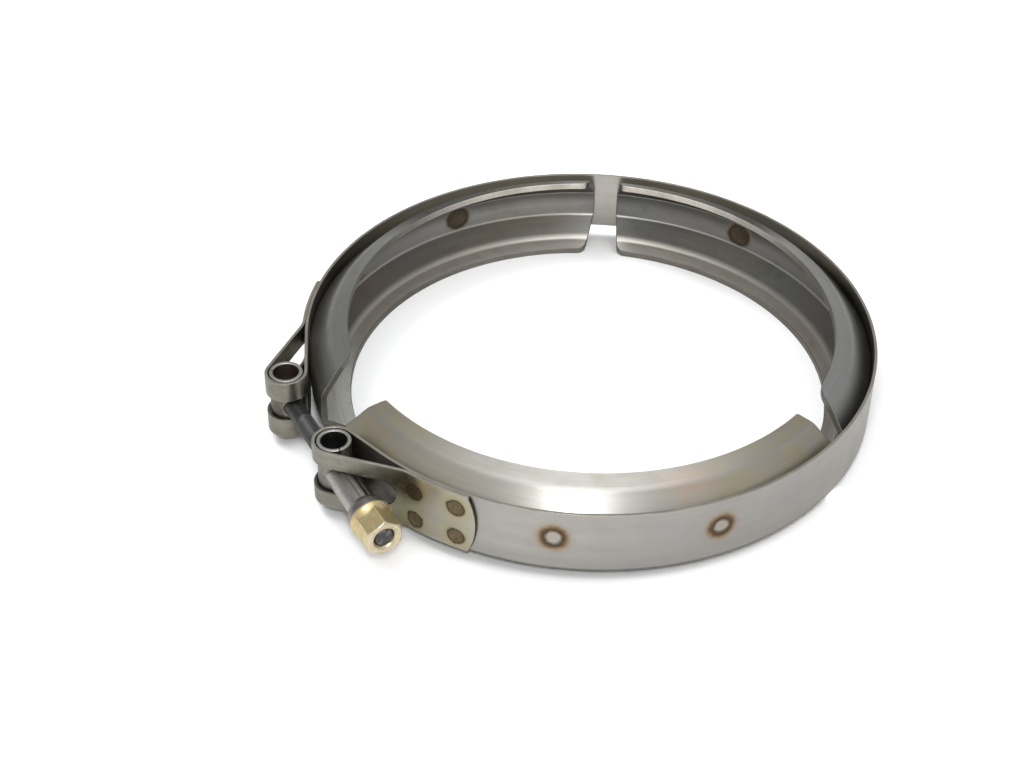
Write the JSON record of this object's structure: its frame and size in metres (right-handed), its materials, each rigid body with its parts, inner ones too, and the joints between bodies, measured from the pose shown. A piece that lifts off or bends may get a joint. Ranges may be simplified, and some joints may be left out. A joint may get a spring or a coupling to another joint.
{
  "type": "T-bolt V-band coupling clamp",
  "caption": "T-bolt V-band pipe clamp: steel strap with folded end loops, V-section retainers inside, rolled trunnions, T-bolt and yellow-plated flange nut.",
  "frame": {"origin": "centre of the ring on the strap's mid plane", "axes": "+Z along the axis of the clamped pipe; the T-bolt runs along X on the -Y side, with its nut towards +X"},
  "size_m": [0.1908, 0.2032, 0.0308],
  "materials": {
    "strap_steel": "satin cold-rolled stainless strip with heat-tinted spot-weld marks",
    "retainer_steel": "mill finish stainless, faintly olive, drawn along the ring",
    "trunnion_steel": "dull rolled steel tube, darker inside",
    "bolt_steel": "dark oiled steel with rolled thread",
    "sleeve_steel": "satin rolled sheet",
    "collar_steel": "clear-plated, faint lilac tint",
    "yellow_zinc": "yellow-passivated zinc plating, worn pale on the face"
  },
  "bodies": {
    "right_segment": {"band_right": "strap_steel", "retainer_right": "retainer_steel"},
    "front_segment": {"band_front": "strap_steel", "retainer_front": "retainer_steel"},
    "left_segment": {"band_left": "strap_steel", "retainer_left": "retainer_steel"},
    "bolt_swivel": {"trunnion_head": "trunnion_steel", "t_bolt": "bolt_steel"},
    "nut_swivel": {"trunnion_nut": "trunnion_steel", "bearing_sleeve": "sleeve_steel", "thrust_collar": "collar_steel"},
    "nut": {"flange_nut": "yellow_zinc"}
  },
  "joints": [
    {"name": "flex_back", "type": "hinge", "parent": "right_segment", "child": "left_segment", "pos_m": [-0.07872, 0.053, 0], "axis": [0, 0, -1], "range_deg": [-1.6, 9.2]},
    {"name": "flex_front", "type": "hinge", "parent": "right_segment", "child": "front_segment", "pos_m": [0.08478, 0.04264, 0], "axis": [0, 0, 1], "range_deg": [-1.45, 8.1]},
    {"name": "head_trunnion_turn", "type": "hinge", "parent": "left_segment", "child": "bolt_swivel", "pos_m": [-0.022, -0.1009, 0], "axis": [0, 0, 1], "range_deg": [-1.6, 8.6]},
    {"name": "nut_trunnion_turn", "type": "hinge", "parent": "front_segment", "child": "nut_swivel", "pos_m": [0.0164, -0.1009, 0], "axis": [0, 0, 1], "range_deg": [-8.9, 1.7]},
    {"name": "nut_spin", "type": "hinge", "parent": "nut_swivel", "child": "nut", "pos_m": [0.048, -0.1009, 0], "axis": [1, 0, 0], "range_deg": [-3090, 17750]}
  ],
  "couplings": [
    {"joint": "flex_front", "follows": "flex_back", "ratio": 0.8735},
    {"joint": "head_trunnion_turn", "follows": "flex_back", "ratio": 0.92163},
    {"joint": "nut_trunnion_turn", "follows": "flex_back", "ratio": -0.95189},
    {"joint": "nut_spin", "follows": "flex_back", "ratio": 1924}
  ]
}
